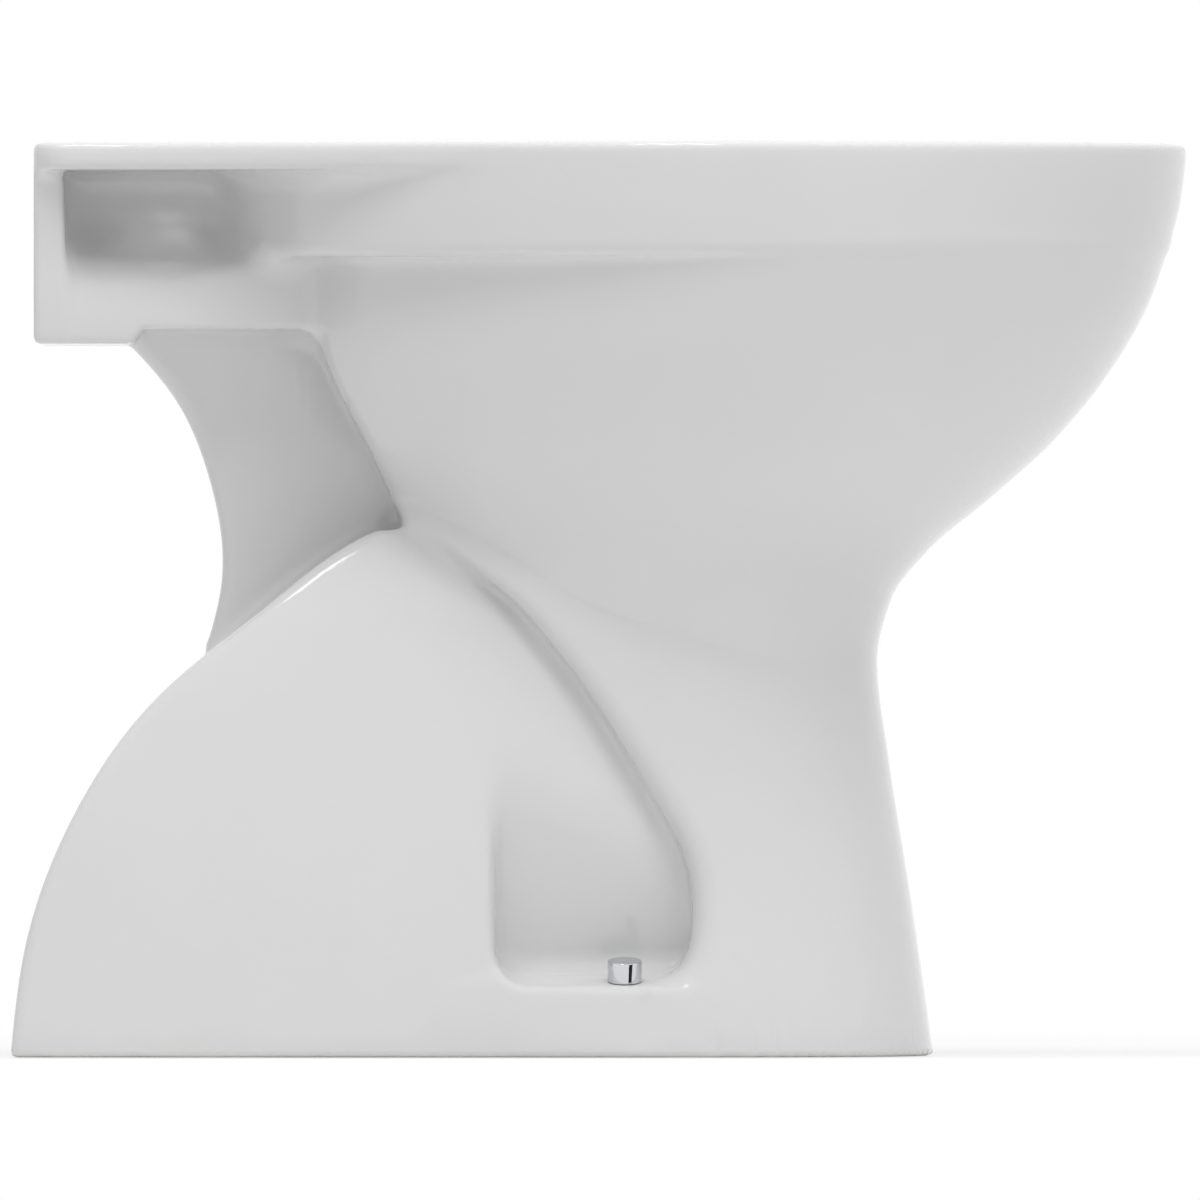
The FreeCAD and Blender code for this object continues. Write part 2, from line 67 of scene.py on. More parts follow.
class Side(Enum):
    """The two sides of the pan, with the sign of Y."""

    LEFT = 1
    RIGHT = -1


@dataclass(frozen=True)
class Section:
    """One level outline of an egg-shaped form."""

    z: float
    rear: float
    front: float
    half: float
    widest: float
    square: float = 2.0


Stack = tuple[Section, ...]


def sections(*rows: tuple[float, ...]) -> Stack:
    """Level outlines in order of height, each from a row of a section's sizes."""
    return tuple(sorted((Section(*row) for row in rows), key=lambda s: s.z))


def smooth_read(zs: Array, values: Array, at: Array) -> Array:
    """Reads a curve through values at other heights, without overshoot.

    Args:
        zs: heights of the values, rising.
        values: the values to pass through.
        at: heights to read; outside the range the end value holds.

    Returns:
        The value at each height.
    """
    steps = np.diff(values) / np.diff(zs)
    before, after = steps[:-1], steps[1:]
    same = before * after > 0
    inner = np.where(same, 2 * before * after / np.where(same, before + after, 1.0), 0.0)
    slope = np.concatenate([steps[:1], inner, steps[-1:]])
    at = np.clip(at, zs[0], zs[-1])
    i = np.clip(np.searchsorted(zs, at, side="right") - 1, 0, len(zs) - 2)
    gap = zs[i + 1] - zs[i]
    t = (at - zs[i]) / gap
    start = (1 + 2 * t) * (1 - t) ** 2 * values[i] + t * (1 - t) ** 2 * gap * slope[i]
    end = t * t * (3 - 2 * t) * values[i + 1] + t * t * (t - 1) * gap * slope[i + 1]
    return start + end


def curve_through(points: Path, steps: int = 10) -> list[Pair]:
    """A smooth line through a few points.

    Args:
        points: points to pass through.
        steps: short lines between two points.

    Returns:
        Points along the line, with both ends.
    """
    p = np.array(points, dtype=float)
    t = np.concatenate([[0.0], np.cumsum(np.linalg.norm(np.diff(p, axis=0), axis=1))])
    h = np.diff(t)
    n = len(p)
    matrix = np.eye(n)
    right = np.zeros((n, 2))
    for i in range(1, n - 1):
        matrix[i, i - 1 : i + 2] = h[i - 1], 2 * (h[i - 1] + h[i]), h[i]
        right[i] = 6 * ((p[i + 1] - p[i]) / h[i] - (p[i] - p[i - 1]) / h[i - 1])
    bend = np.linalg.solve(matrix, right)
    out = [tuple(p[0])]
    for i in range(n - 1):
        for k in range(1, steps + 1):
            b = k / steps
            a = 1 - b
            lift = ((a**3 - a) * bend[i] + (b**3 - b) * bend[i + 1]) * h[i] ** 2 / 6
            out.append(tuple(a * p[i] + b * p[i + 1] + lift))
    return out


def swept(start: Pair, end: Pair, leave: Pair, arrive: Pair, steps: int = 24) -> list[Pair]:
    """A smooth line between two points with set directions at its ends.

    Args:
        start: first point.
        end: last point.
        leave: direction at the start.
        arrive: direction at the end.
        steps: short lines along it.

    Returns:
        Points along the line, with both ends.
    """
    a, b = np.array(start), np.array(end)
    reach = np.linalg.norm(b - a)
    u, v = (np.array(d) / np.linalg.norm(d) * reach for d in (leave, arrive))
    out = []
    for t in np.linspace(0, 1, steps + 1):
        keep = (1 + 2 * t) * (1 - t) ** 2 * a + t * (1 - t) ** 2 * u
        out.append(tuple(keep + t * t * (3 - 2 * t) * b + t * t * (t - 1) * v))
    return out


def both_sides(edge: list[Pair]) -> list[Pair]:
    """Outline of an edge on the left and its mirror image on the right."""
    return edge + [(x, -y) for x, y in edge[::-1]]


def path_distance(u: Array, v: Array, path: list[Pair]) -> Array:
    """Distance to an open line of points."""
    best = np.full(np.broadcast(u, v).shape, FAR, dtype=np.float32)
    for (ax, ay), (bx, by) in zip(path, path[1:]):
        ex, ey = bx - ax, by - ay
        t = np.clip(((u - ax) * ex + (v - ay) * ey) / (ex * ex + ey * ey), 0, 1)
        best = np.minimum(best, (u - ax - t * ex) ** 2 + (v - ay - t * ey) ** 2)
    return np.sqrt(best)


def outline_distance(u: Array, v: Array, outline: list[Pair]) -> Array:
    """Distance to a closed outline, negative inside.

    Args:
        u: first coordinate of the points.
        v: second coordinate of the points.
        outline: corners in order, each at a place of its own.

    Returns:
        The distance at each point.
    """
    closed = outline + outline[:1]
    inside = np.zeros(np.broadcast(u, v).shape, dtype=bool)
    for (ax, ay), (bx, by) in zip(closed, closed[1:]):
        if ay != by:
            inside ^= ((ay > v) != (by > v)) & (u < (bx - ax) * (v - ay) / (by - ay) + ax)
    return np.where(inside, -1, 1) * path_distance(u, v, closed)


def joined(a: Array, b: Array, radius: float | Array) -> Array:
    """Two forms as one, with a hollow fillet of that radius where they meet."""
    inner = np.sqrt(np.maximum(radius - a, 0) ** 2 + np.maximum(radius - b, 0) ** 2)
    return np.maximum(radius, np.minimum(a, b)) - inner


def trimmed(a: Array, b: Array, radius: float | Array) -> Array:
    """What two forms share, with the edge between them rounded to that radius."""
    return -joined(-a, -b, radius)


def carved(a: Array, b: Array, radius: float | Array) -> Array:
    """The first form with the second cut out of it and the edge rounded to that radius."""
    return trimmed(a, -b, radius)


def ramp(at: Array, low: float, high: float, start: float, end: float) -> Array:
    """A value that goes smoothly from start at low to end at high."""
    t = np.clip((at - low) / (high - low), 0, 1)
    return start + (end - start) * t * t * (3 - 2 * t)


class ClayGrid:
    """One half of a symmetric form, kept as distances to its skin on evenly spaced points."""

    def __init__(self, low: tuple[float, ...], high: tuple[float, ...], step: float) -> None:
        """Lays out the points.

        Args:
            low: lowest corner; its Y is left out, because the grid starts at the middle plane.
            high: highest corner.
            step: spacing of the points.
        """
        self.step = step
        self.low = np.array([low[0], -step / 2, low[2]])
        count = [int(math.ceil((h - l) / step)) + 1 for l, h in zip(self.low, high)]
        axes = [(self.low[i] + step * np.arange(count[i])).astype(np.float32) for i in range(3)]
        self.x = axes[0][:, None, None]
        self.y = axes[1][None, :, None]
        self.z = axes[2][None, None, :]
        self.shape = tuple(count)

    def evened(self, values: Array) -> Array:
        """Turns a measure that is 1 on the skin into distances from it."""
        gx, gy, gz = np.gradient(values, self.step)
        return (values - 1) / np.sqrt(gx * gx + gy * gy + gz * gz + TINY)

    def egg(self, rows: Stack, grow: float = 0.0) -> Array:
        """Distance to a form through level egg-shaped outlines.

        Args:
            rows: the outlines, from the lowest to the highest.
            grow: how far each outline is moved out.

        Returns:
            The distance at each point of the grid.
        """
        zs = np.array([row.z for row in rows])
        flat = self.z.ravel().astype(float)

        def read(name: str) -> Array:
            """One size of the outlines at every level of the grid."""
            values = np.array([getattr(row, name) for row in rows])
            return smooth_read(zs, values, flat).astype(np.float32)[None, None, :]

        dx = self.x - read("widest")
        reach = np.where(dx > 0, read("front") - read("widest"), read("widest") - read("rear")) + grow
        square = read("square")
        along = (np.abs(dx) / reach) ** square
        across = (np.abs(self.y) / (read("half") + grow)) ** square
        return self.evened((along + across) ** (1 / square))

    def side(self, outline: list[Pair]) -> Array:
        """Distance to a side outline in X and Z, the same at every Y."""
        return outline_distance(self.x[:, :, 0], self.z[0], outline)[:, None, :]

    def beside(self, path: list[Pair]) -> Array:
        """Distance to an open line in X and Z, the same at every Y."""
        return path_distance(self.x[:, :, 0], self.z[0], path)[:, None, :]

    def plan(self, outline: list[Pair]) -> Array:
        """Distance to a plan outline in X and Y, the same at every Z."""
        return outline_distance(self.x[:, :, 0], self.y[:, :, 0], outline)[:, :, None]

    def cross(self, outline: list[Pair]) -> Array:
        """Distance to a cross outline in Y and Z, the same at every X."""
        return outline_distance(self.y[0], self.z[0], outline)[None, :, :]

    def block(self, low: tuple[float, ...], high: tuple[float, ...], edge: float = 0.5) -> Array:
        """Distance to a box between two corners, with rounded edges."""
        across = np.maximum(low[1] - self.y, self.y - high[1])
        along = np.maximum(low[0] - self.x, self.x - high[0])
        upright = np.maximum(low[2] - self.z, self.z - high[2])
        return trimmed(trimmed(along, across, edge), upright, edge)

    def read(self, values: list[Array], points: Array) -> list[Array]:
        """Reads kept values between the points of the grid.

        Args:
            values: arrays of the grid's shape.
            points: places to read, one row each.

        Returns:
            The value of each array at each place.
        """
        at = (points - self.low) / self.step
        cell = np.clip(np.floor(at).astype(int), 0, np.array(self.shape) - 2)
        part = np.clip(at - cell, 0, 1)
        out = [np.zeros(len(points)) for _ in values]
        for corner in np.ndindex(2, 2, 2):
            weight = np.prod(np.where(corner, part, 1 - part), axis=1)
            place = tuple((cell + corner).T)
            for total, kept in zip(out, values):
                total += weight * kept[place]
        return out

    def skin(self, values: Array) -> tuple[Array, Array]:
        """Four-sided faces over the skin of a form.

        Args:
            values: distances on the grid, negative inside.

        Returns:
            Points and the four points of each face, which looks outward.
        """
        inside = values < 0
        n = [size - 1 for size in self.shape]
        filled = np.zeros(n, dtype=np.int8)
        for corner in np.ndindex(2, 2, 2):
            filled += inside[tuple(slice(c, c + m) for c, m in zip(corner, n))]
        cells = np.argwhere((filled > 0) & (filled < 8))
        number = np.full(n, -1, dtype=np.int64)
        number[tuple(cells.T)] = np.arange(len(cells))
        total = np.zeros((len(cells), 3))
        hits = np.zeros(len(cells))
        faces = []
        for axis in range(3):
            others = [k for k in range(3) if k != axis]
            for shift in np.ndindex(2, 2):
                first = np.zeros(3, dtype=int)
                first[others] = shift
                last = first.copy()
                last[axis] = 1
                a = values[tuple((cells + first).T)]
                b = values[tuple((cells + last).T)]
                cut = (a < 0) != (b < 0)
                t = a[cut] / (a[cut] - b[cut])
                total[cut] += first
                total[cut, axis] += t
                hits[cut] += 1
            lower = tuple(slice(0, n[k]) if k == axis else slice(1, n[k]) for k in range(3))
            upper = tuple(slice(1, n[k] + 1) if k == axis else slice(1, n[k]) for k in range(3))
            goes_in = inside[upper] & ~inside[lower]
            goes_out = inside[lower] & ~inside[upper]
            turn = [(0, 0), (1, 0), (1, 1), (0, 1)]
            for found, order in ((goes_out, turn), (goes_in, turn[::-1])):
                base = np.argwhere(found)
                ring = []
                for du, dv in order if axis != 1 else order[::-1]:
                    place = base.copy()
                    place[:, others[0]] += du
                    place[:, others[1]] += dv
                    ring.append(number[tuple(place.T)])
                faces.append(np.stack(ring, axis=1))
        points = self.low + (cells + total / hits[:, None]) * self.step
        return points, np.concatenate(faces)


def mesh_from(name: str, points: Array, faces: Array) -> Mesh:
    """A Blender mesh from arrays of points and faces with the same number of corners.

    Args:
        name: name of the mesh.
        points: places in metres.
        faces: point numbers of each face.

    Returns:
        The new mesh.
    """
    mesh = bpy.data.meshes.new(name)
    corners = faces.shape[1]
    mesh.vertices.add(len(points))
    mesh.vertices.foreach_set("co", points.astype(np.float32).ravel())
    mesh.loops.add(faces.size)
    mesh.loops.foreach_set("vertex_index", faces.astype(np.int32).ravel())
    mesh.polygons.add(len(faces))
    mesh.polygons.foreach_set("loop_start", np.arange(0, faces.size, corners, dtype=np.int32))
    mesh.update(calc_edges=True)
    mesh.validate()
    return mesh


def settled(piece: Object) -> Mesh:
    """The plain mesh of a piece with its modifiers worked out, which are then removed."""
    graph = bpy.context.evaluated_depsgraph_get()
    mesh = bpy.data.meshes.new_from_object(piece.evaluated_get(graph))
    piece.modifiers.clear()
    old = piece.data
    piece.data = mesh
    bpy.data.meshes.remove(old)
    return mesh


def placed(name: str, data: ID) -> Object:
    """A new object at the origin with a mesh, a lamp or a camera."""
    piece = bpy.data.objects.new(name, data)
    bpy.context.scene.collection.objects.link(piece)
    return piece


def sheet(name: str, corners: list[Triple], material: Material) -> Object:
    """A flat four-sided piece of the room."""
    mesh = bpy.data.meshes.new(name)
    mesh.from_pydata(corners, [], [(0, 1, 2, 3)])
    mesh.materials.append(material)
    return placed(name, mesh)


def fire(grid: ClayGrid, values: Array, name: str, most: int, marks: dict[str, Array]) -> Object:
    """Turns a kept form into a smooth closed piece.

    Args:
        grid: the grid of one half.
        values: distances on it.
        name: name of the piece.
        most: greatest number of triangles.
        marks: distances on the grid whose skins are marked in attributes of the same name.

    Returns:
        The piece, with normals read from the form itself.
    """
    slope = np.gradient(values, grid.step)
    points, faces = grid.skin(values)
    # Two short moves bring the points onto the skin itself.
    furthest = 0.4 * grid.step
    for _ in range(2):
        off, *away = grid.read([values, *slope], points)
        away = np.stack(away, axis=1)
        away /= np.linalg.norm(away, axis=1)[:, None] + TINY
        middle = np.abs(points[:, 1]) < 1e-6
        points -= away * np.clip(off, -furthest, furthest)[:, None]
        points[middle, 1] = 0
    half = placed(name, mesh_from(name, points, faces))
    thin = half.modifiers.new("thin", "DECIMATE")
    thin.ratio = min(1.0, most / 2 / (2 * len(faces)))
    mesh = settled(half)
    # The open edge goes exactly onto the middle plane.
    snap = 0.02 * grid.step
    bm = bmesh.new()
    bm.from_mesh(mesh)
    bmesh.ops.triangulate(bm, faces=bm.faces)
    for vertex in bm.verts:
        if vertex.co.y < snap or vertex.is_boundary:
            vertex.co.y = 0
    bm.to_mesh(mesh)
    bm.free()
    count = len(mesh.vertices)
    points = np.empty(count * 3, dtype=np.float32)
    mesh.vertices.foreach_get("co", points)
    points = points.reshape(-1, 3).astype(float)
    faces = np.empty(len(mesh.polygons) * 3, dtype=np.int32)
    mesh.polygons.foreach_get("vertices", faces)
    faces = faces.reshape(-1, 3)
    # The other half is the mirror image and shares the points on the middle plane.
    shared = points[:, 1] == 0
    twin = np.arange(count)
    twin[~shared] = count + np.arange((~shared).sum())
    both = np.concatenate([points, points[~shared] * (1, -1, 1)])
    whole = mesh_from(name, both * MM, np.concatenate([faces, twin[faces][:, ::-1]]))
    # Normals are read from the form, which is finer than the thinned faces.
    near = both * (1, 0, 1) + np.abs(both) * (0, 1, 0)
    read = grid.read([*slope, *marks.values()], near)
    normals = np.stack([read[0], read[1] * np.where(both[:, 1] < 0, -1, 1), read[2]], axis=1)
    normals[both[:, 1] == 0, 1] = 0
    normals /= np.linalg.norm(normals, axis=1)[:, None] + TINY
    whole.polygons.foreach_set("use_smooth", np.ones(len(whole.polygons), dtype=bool))
    whole.normals_split_custom_set_from_vertices(normals)
    for mark, distance in zip(marks, read[3:]):
        layer = whole.attributes.new(mark, "FLOAT", "POINT")
        layer.data.foreach_set("value", np.clip(MARK_MM - np.abs(distance), 0, 1).astype(np.float32))
    half.data = whole
    bpy.data.meshes.remove(mesh)
    return half


Link = NodeSocket | float | int | str | tuple | Material


def add(tree: NodeTree, kind: str, inputs: dict[str | int, Link] | None = None, **settings: object) -> Node:
    """Adds one node.

    Args:
        tree: tree that gets it.
        kind: type name of the node.
        inputs: values or links by the input's name or number.
        settings: the node's own settings.

    Returns:
        The new node.
    """
    made = tree.nodes.new(kind)
    for key, value in settings.items():
        setattr(made, key, value)
    for key, value in (inputs or {}).items():
        if isinstance(value, NodeSocket):
            tree.links.new(value, made.inputs[key])
        else:
            made.inputs[key].default_value = value
    return made


def maths(tree: NodeTree, operation: str, a: Link, b: Link, kind: str = "ShaderNodeMath") -> NodeSocket:
    """Result of a node that works out one sum."""
    return add(tree, kind, {0: a, 1: b}, operation=operation).outputs[0]


def empty_tree(owner: Material | World) -> NodeTree:
    """Node tree of a material or a world, without any nodes."""
    owner.use_nodes = True
    owner.node_tree.nodes.clear()
    return owner.node_tree


def looked_at(tree: NodeTree) -> NodeSocket:
    """One where the camera sees a thing, also in a mirror, and nought where it only gives light."""
    ray = add(tree, "ShaderNodeLightPath").outputs
    seen = maths(tree, "MAXIMUM", ray["Is Camera Ray"], ray["Is Glossy Ray"])
    return maths(tree, "MAXIMUM", seen, ray["Is Transmission Ray"])


def colour(code: str) -> tuple[float, float, float, float]:
    """Linear colour from an sRGB hex code such as E8E8E6."""
    parts = [int(code[i : i + 2], 16) / 255 for i in (0, 2, 4)]
    return tuple(c / 12.92 if c <= 0.04045 else ((c + 0.055) / 1.055) ** 2.4 for c in parts) + (1.0,)


@dataclass(frozen=True)
class Finish:
    """A surface whose colour, gloss and relief vary a little on real scales."""

    name: str
    light: str
    dark: str
    patch_mm: float
    smooth: float
    rough: float
    wave_mm: float
    relief_mm: float
    metallic: float = 0.0
    ior: float = 1.45
    stretch: Triple = (1.0, 1.0, 1.0)

    def shader(self, tree: NodeTree) -> Node:
        """Adds the surface's shader with its patterns.

        Args:
            tree: tree of the material.

        Returns:
            The shader node.
        """
        place = add(tree, "ShaderNodeTexCoord").outputs["Object"]
        place = add(tree, "ShaderNodeMapping", {"Vector": place, "Scale": self.stretch}).outputs[0]

        def noise(size_mm: float, detail: float) -> NodeSocket:
            """Cloudy pattern with spots of a real size."""
            inputs = {"Vector": place, "Scale": 1 / (size_mm * MM), "Detail": detail}
            return add(tree, "ShaderNodeTexNoise", inputs).outputs["Fac"]

        patch = noise(self.patch_mm, 3.0)
        shades = {"Factor": patch, 6: colour(self.dark), 7: colour(self.light)}
        spread = {"From Min": 0.3, "From Max": 0.7, "To Min": self.smooth, "To Max": self.rough}
        relief = {"Strength": 1.0, "Distance": self.relief_mm * MM, "Height": noise(self.wave_mm, 2.0)}
        inputs = {
            "Base Color": add(tree, "ShaderNodeMix", shades, data_type="RGBA").outputs[2],
            "Roughness": add(tree, "ShaderNodeMapRange", {"Value": patch, **spread}).outputs[0],
            "Normal": add(tree, "ShaderNodeBump", relief).outputs[0],
            "Metallic": self.metallic,
            "IOR": self.ior,
        }
        return add(tree, "ShaderNodeBsdfPrincipled", inputs)

    def material(self) -> Material:
        """The material of this finish."""
        made = bpy.data.materials.new(self.name)
        tree = empty_tree(made)
        add(tree, "ShaderNodeOutputMaterial", {"Surface": self.shader(tree).outputs[0]})
        return made


# Opaque white glaze over vitreous china: even, cool white, mirror smooth but with the slow
# waviness of a fired glaze, which bends reflections a little.
GLAZE = Finish("glazed_vitreous_china", "DEDEDE", "DADADA", 60.0, 0.07, 0.11, 26.0, 0.05, ior=1.52)
# Bare fired body, where the foot stands on the kiln shelf and inside the hollow: dull, chalky
# and a little warmer, with fine sandy grain.
BISQUE = Finish("bare_fired_china", "E0DED8", "D0CDC6", 14.0, 0.75, 0.9, 1.6, 0.08, ior=1.5)
# Bright chromium over moulded plastic: mirror grey, with the faint ripple of the moulding.
CHROME = Finish("chromium_plated_plastic", "D6D8DA", "CCCED1", 6.0, 0.04, 0.09, 5.0, 0.008, metallic=1.0)
# Natural nylon: milky, waxy, with the fine grain of the mould.
NYLON = Finish("natural_nylon", "E4E1D6", "DAD6C8", 5.0, 0.38, 0.5, 0.7, 0.015, ior=1.53)
# Stamped stainless steel: satin grey with fine scratches along the rolled strip.
STEEL = Finish(
    "stamped_stainless_steel", "B4B4B2", "9A9A98", 1.2, 0.25, 0.42, 0.5, 0.01,
    metallic=1.0, stretch=(1.0, 6.0, 1.0),
)
# Black EPDM rubber: deep grey, dull, with a faint bloom in patches.
RUBBER = Finish("moulded_epdm_rubber", "2B2B2C", "1C1C1D", 7.0, 0.55, 0.75, 0.6, 0.02, ior=1.5)
# White ABS, moulded: clean white with a soft gloss and very slight sink waves.
ABS = Finish("moulded_white_abs", "EBEBE8", "E3E3E0", 18.0, 0.2, 0.32, 9.0, 0.02, ior=1.53)


@dataclass(frozen=True)
class PartGlazed:
    """China that is glazed where it shows and bare where a marked skin says so."""

    glaze: Finish
    bare: Finish
    mark: str

    def material(self) -> Material:
        """The material that mixes both surfaces along the mark."""
        made = bpy.data.materials.new(self.glaze.name)
        tree = empty_tree(made)
        mark = add(tree, "ShaderNodeAttribute", attribute_name=self.mark).outputs["Fac"]
        where = maths(tree, "GREATER_THAN", mark, 0.5)
        glaze, bare = (finish.shader(tree).outputs[0] for finish in (self.glaze, self.bare))
        both = add(tree, "ShaderNodeMixShader", {0: where, 1: glaze, 2: bare})
        add(tree, "ShaderNodeOutputMaterial", {"Surface": both.outputs[0]})
        return made


@dataclass
class Pan:
    """The china: bowl, rim, shelf, neck and foot as one casting, with its hollows."""

    nodes: tuple[str, ...] = (
        "rim", "bowl", "sump", "rising_limb", "falling_limb", "outlet_spigot", "dome", "pedestal",
        "neck", "deck", "inlet_wall", "left_channel_wall", "right_channel_wall", "channel_floor",
        "channel_roof", "left_shelf_side", "right_shelf_side", "left_fixing_boss", "right_fixing_boss",
    )
    step: float = 2.0
    margin: float = 6.0
    triangles: int = 190000
    height: float = 400.0
    half_width: float = 180.0
    front: float = 257.8
    rear: float = -257.8
    wall: float = 11.0
    rim_edge: float = 3.0
    rim_inside_edge: float = 7.0
    bowl: Stack = sections(
        (356, -150, 250.4, 175.2, 85),
        (330, -152, 241.2, 167.5, 80),
        (300, -150, 224, 155, 70),
        (270, -140, 199.6, 139, 57),
        (245, -122, 172, 124, 44),
        (222, -112, 144.6, 112, 32, 2.1),
        (200, -124, 128, 105.2, 24, 2.3),
        (173, -130, 121.9, 102.2, 20, 2.3),
        (130, -130, 127, 104, 18, 2.4),
        (70, -130, 136.6, 110, 14, 2.7),
        (0, -130, 146.6, 118.5, 10, 3),
    )
    rim: Stack = sections(
        (350, -175, 248.6, 175.4, 78),
        (376, -177, 255.4, 178.6, 78),
        (400, -178, 257.8, 180, 78),
        (405, -178.1, 257.8, 180, 78),
    )
    rim_hollow: Stack = sections(
        (344, -103, 226, 146, 70),
        (372, -104.5, 228, 147.5, 70),
        (401, -106, 229, 148, 70),
    )
    bowl_hollow: Stack = sections(
        (346, -94, 217, 137, 70),
        (320, -91, 214, 136, 69),
        (290, -82, 201, 131, 66),
        (255, -66, 170, 114, 56),
        (220, -43, 129, 91, 48),
        (185, -21, 106, 70, 46),
        (150, -2, 96, 55, 48),
        (110, 22, 92, 42, 58),
        (66, 32, 88, 37, 60),
        (42, 38, 82, 30, 60),
        (31, 46, 74, 17, 60),
    )
    dome: Stack = sections(
        (0, -500, 90, 118.5, -95, 2.6),
        (85, -500, 77, 115, -95, 2.5),
        (138, -500, 52, 109, -100, 2.4),
        (186, -500, 28, 98, -112, 2.3),
        (240, -500, 12, 68, -120, 2.2),
    )
    plinth: Stack = sections(
        (0, -700, 147, 118.5, -40, 3.2),
        (44, -700, 140, 116.7, -40, 3.2),
    )
    dome_back: Path = (
        (-257.8, 0), (-250.9, 50.4), (-231.5, 103.2), (-195.1, 155.9), (-150, 194),
        (-91, 233), (-58, 236), (-10, 210), (62, 120),
    )
    ridge: Path = (
        (-91, 233), (-70.2, 219.7), (-43.8, 202.1), (-8.7, 164.7), (24.3, 112),
        (37.5, 85.6), (40.5, 62), (34.2, 39), (18, 31),
    )
    neck_back: Path = ((-206.5, 312), (-186.3, 287.8), (-171.3, 252.6), (-166, 208.7), (-172.5, 180))
    crease: Path = ((-96, 248), (-52, 226), (-10, 200), (42, 181), (119, 166))
    bowl_rear: Path = ((-127, 352), (-123.5, 332), (-120.8, 308), (-110, 283.5), (-91.5, 245), (-85, 228))
    lip: Path = ((46, 380), (54, 368), (66, 358), (80, 350), (90, 341), (94.5, 330), (93.4, 312))
    crease_depth: float = 7.5
    crease_above: float = 30.0
    crease_below: float = 10.0
    crease_blunt: float = 6.0
    groove_width: float = 5.0
    neck_half: float = 40.0
    deck_rear: float = -247.8
    deck_half: float = 113.0
    deck_corner: float = 14.0
    deck_under: float = 388.0
    shelf_end: Pair = (-45.0, 157.3)
    shelf_bottom: float = 312.0
    shelf_wall: float = 12.0
    back_lean: float = 0.045
    wall_half: float = 101.0
    wall_lean: float = 0.1
    channel_half: float = 52.0
    channel_front: float = -100.0
    plate_ends: tuple[Pair, Pair] = ((-220.0, 100.0), (-110.0, 66.0))
    plate_front: float = -112.0
    plate_start: Pair = (-206.0, -199.0)
    plate_bottom: float = 318.6
    ledge_height: float = 30.0
    ledge_tilt: float = 12.0
    foot_half: float = 118.5
    strip_ends: Pair = (-75.0, 100.0)
    strip_top: float = 60.0
    pocket_left: float = -46.0
    pocket_back: float = 83.0
    pocket_lean: float = 0.27
    pocket_turn: float = 0.09
    fix_x: float = 10.8
    fix_y: float = 104.0
    fix_hole: float = 5.1
    fix_middle: float = -20.0
    fix_reach: float = 30.0
    boss_radius: float = 16.0
    boss_low: float = -55.0
    trap: Path = ((62.0, 66.0), (-5.0, 66.0), (-88.0, 208.0), (-186.0, 100.0), (-186.0, 14.0))
    trap_bends: tuple[float, ...] = (45.0, 42.0, 70.0)
    trap_bore: float = 35.0
    trap_tube: float = 45.0
    spigot: float = 51.0
    spigot_top: float = 50.0
    hollow_rear: float = -110.0
    hollow_top: float = 160.0
    inlet_z: float = 352.0
    inlet_radius: float = 27.6
    inlet_depth: float = 34.0
    seat_x: float = -190.0
    seat_half: float = 77.5
    seat_hole: float = 7.5
    seat_bottom: float = 380.0
    # Edges, fillets and depths that change along X.
    back_fillet: Change = (-241, -236, 8, 1.5)
    neck_taper: Change = (-170, -100, 45, 33)
    crease_fade: Change = (20, 118, 1, 0)
    undercut_fade: Change = (-20, 120, 1, 0)
    band_fillet: Change = (-90, 95, 5, 2)
    flank_fillet: Change = (-120, -52, 12, 0.6)
    # Those that change along Z.
    plate_fillet: Change = (316, 350, 2, 11)
    strip_lean: Change = (30, 60, 0, 6)
    pocket_edge: Change = (34, 56, 3, 7)
    groove_depth: Change = (175, 210, 0, 2.6)
    undercut: Change = (305, 345, 0, 3)
    ridge_edge: Change = (60, 215, 14, 8)
    foot_fillet: Change = (24, 60, 0.8, 6)

    # Outlines below close with corners that lie inside other forms or outside the grid.

    def shelf(self, g: ClayGrid) -> Array:
        """Rear shelf: deck, back wall, flush channel and the coved floor of the side recesses."""
        c = self.deck_corner
        x0, w = self.deck_rear, self.deck_half
        turn = np.linspace(0, math.pi / 2, 9)
        corner = [(x0 + c - c * math.sin(a), w - c + c * math.cos(a)) for a in turn]
        join = swept((x0 + c, w), self.shelf_end, (1, 0.06), (1, 0.385))
        plan = g.plan(both_sides(corner[::-1] + join[1:] + [(20, 120)]))
        y = np.abs(g.y)
        deck = self.deck_under - g.z
        back = g.x - (x0 + self.shelf_wall) - (self.height - g.z) * self.back_lean
        back = trimmed(back, y - self.wall_half + self.wall_lean * deck, 4)
        channel = trimmed(y - self.channel_half, g.x - self.channel_front, 4)
        inner, under = self.channel_half - 30, self.shelf_bottom - 32
        cove = [(inner, under), (inner, self.lip[0][1]), *curve_through(self.lip), (self.lip[-1][0], under)]
        sides = swept(*self.plate_ends, (1, 0), (1, -0.35))
        sides = g.plan(both_sides([(-300, 100), *sides, (-100, 40)]))
        plate = trimmed(g.cross(cove), sides, 4)
        plate = trimmed(plate, g.x - self.plate_front, 4)
        form = joined(deck, back, ramp(g.x, *self.back_fillet))
        form = joined(form, channel, 11)
        form = joined(form, plate, ramp(g.z, *self.plate_fillet))
        form = trimmed(form, plan, 2.6)
        rise = ramp(g.x, *self.plate_start, 0, self.plate_bottom - self.shelf_bottom)
        bottom = self.shelf_bottom + rise * (y > self.neck_half)
        return trimmed(form, bottom - g.z, 2.2)

    def neck(self, g: ClayGrid) -> Array:
        """Neck under the shelf."""
        inside = [(-130, 150), (-60, 200), (-90, 340), (-206.5, 340)]
        side = g.side(curve_through(self.neck_back) + inside)
        return trimmed(side, np.abs(g.y) - ramp(g.x, *self.neck_taper), 7)

